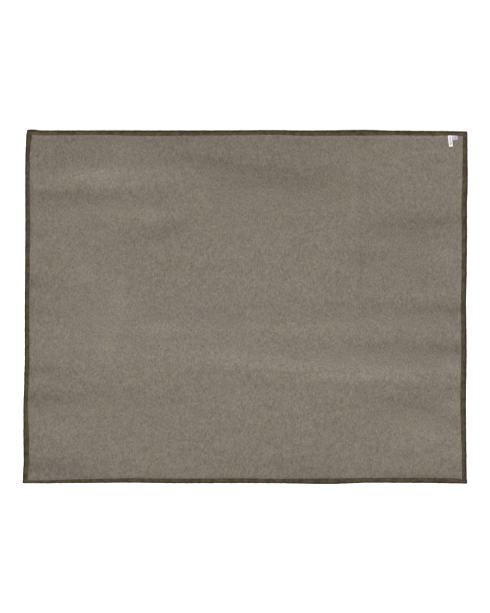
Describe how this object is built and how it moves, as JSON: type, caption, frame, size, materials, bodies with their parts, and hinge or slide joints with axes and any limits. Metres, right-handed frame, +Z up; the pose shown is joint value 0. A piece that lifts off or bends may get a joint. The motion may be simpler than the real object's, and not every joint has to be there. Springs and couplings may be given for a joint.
{
  "type": "camp blanket",
  "caption": "Rectangular thick cloth blanket laid flat, with folded tape binding mitred at the corners and two small labels that flip up.",
  "frame": {"origin": "on the ground, under the middle of the blanket", "axes": "+X along the long side, +Y towards the head, +Z up out of the face"},
  "size_m": [1.905, 1.524, 0.006],
  "materials": {
    "blanket_cloth": "matte marled wool, warm grey",
    "binding_tape": "woven tape, dark olive brown, low sheen",
    "binding_thread": "polyester sewing thread, dark olive brown",
    "care_label_ribbon": "white satin ribbon",
    "size_label_ribbon": "white satin ribbon with a lavender grey print"
  },
  "bodies": {
    "blanket": {"body_cloth": "blanket_cloth", "binding_head": "binding_tape", "binding_left": "binding_tape", "binding_foot": "binding_tape", "binding_right": "binding_tape", "needle_thread_head": "binding_thread", "needle_thread_left": "binding_thread", "needle_thread_foot": "binding_thread", "needle_thread_right": "binding_thread", "bobbin_thread_head": "binding_thread", "bobbin_thread_left": "binding_thread", "bobbin_thread_foot": "binding_thread", "bobbin_thread_right": "binding_thread"},
    "care_label": {"care_label": "care_label_ribbon"},
    "size_label": {"size_label": "size_label_ribbon"}
  },
  "joints": [
    {"name": "care_label_flip", "type": "hinge", "parent": "blanket", "child": "care_label", "pos_m": [0.8765, 0.7401, 0.0055], "axis": [-1, 0, 0], "range_deg": [0, 175]},
    {"name": "size_label_flip", "type": "hinge", "parent": "blanket", "child": "size_label", "pos_m": [0.8975, 0.7401, 0.0055], "axis": [-1, 0, 0], "range_deg": [0, 175]}
  ]
}
